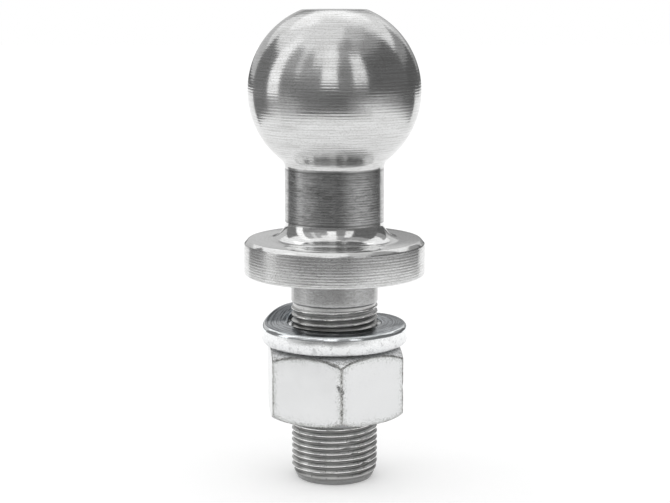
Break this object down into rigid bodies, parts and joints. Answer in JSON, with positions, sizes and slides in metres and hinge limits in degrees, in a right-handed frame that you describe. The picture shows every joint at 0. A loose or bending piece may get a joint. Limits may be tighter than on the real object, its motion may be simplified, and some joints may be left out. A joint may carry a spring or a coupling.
{
  "type": "threaded tow ball",
  "caption": "Turned steel tow ball on a neck and round flange, with a threaded shank, a split lock washer and a hexagon nut that screws along it.",
  "frame": {"origin": "centre of the flat end of the threaded shank", "axes": "+Z along the stud's axis from the shank's end to the ball, -Y towards the viewer of the picture, +X to the right"},
  "size_m": [0.0528, 0.0528, 0.1374],
  "materials": {
    "turned_steel": "bare turned steel with fine lathe rings",
    "zinc_washer": "bright zinc plate over rolled spring steel",
    "zinc_nut": "bright zinc plate, smooth flats and scuffed edges"
  },
  "bodies": {
    "ball_stud": {"tow_ball": "turned_steel"},
    "washer": {"lock_washer": "zinc_washer"},
    "nut": {"hex_nut": "zinc_nut"}
  },
  "joints": [
    {"name": "washer_slide", "type": "slide", "parent": "ball_stud", "child": "washer", "axis": [0, 0, 1], "range_m": [-0.0182, 0.01095]},
    {"name": "nut_spin", "type": "hinge", "parent": "washer", "child": "nut", "pos_m": [0, 0, 0.0394], "axis": [0, 0, 1], "range_deg": [-3600, 2160]}
  ],
  "couplings": [
    {"joint": "washer_slide", "follows": "nut_spin", "m_per_rad": 0.00028875}
  ]
}
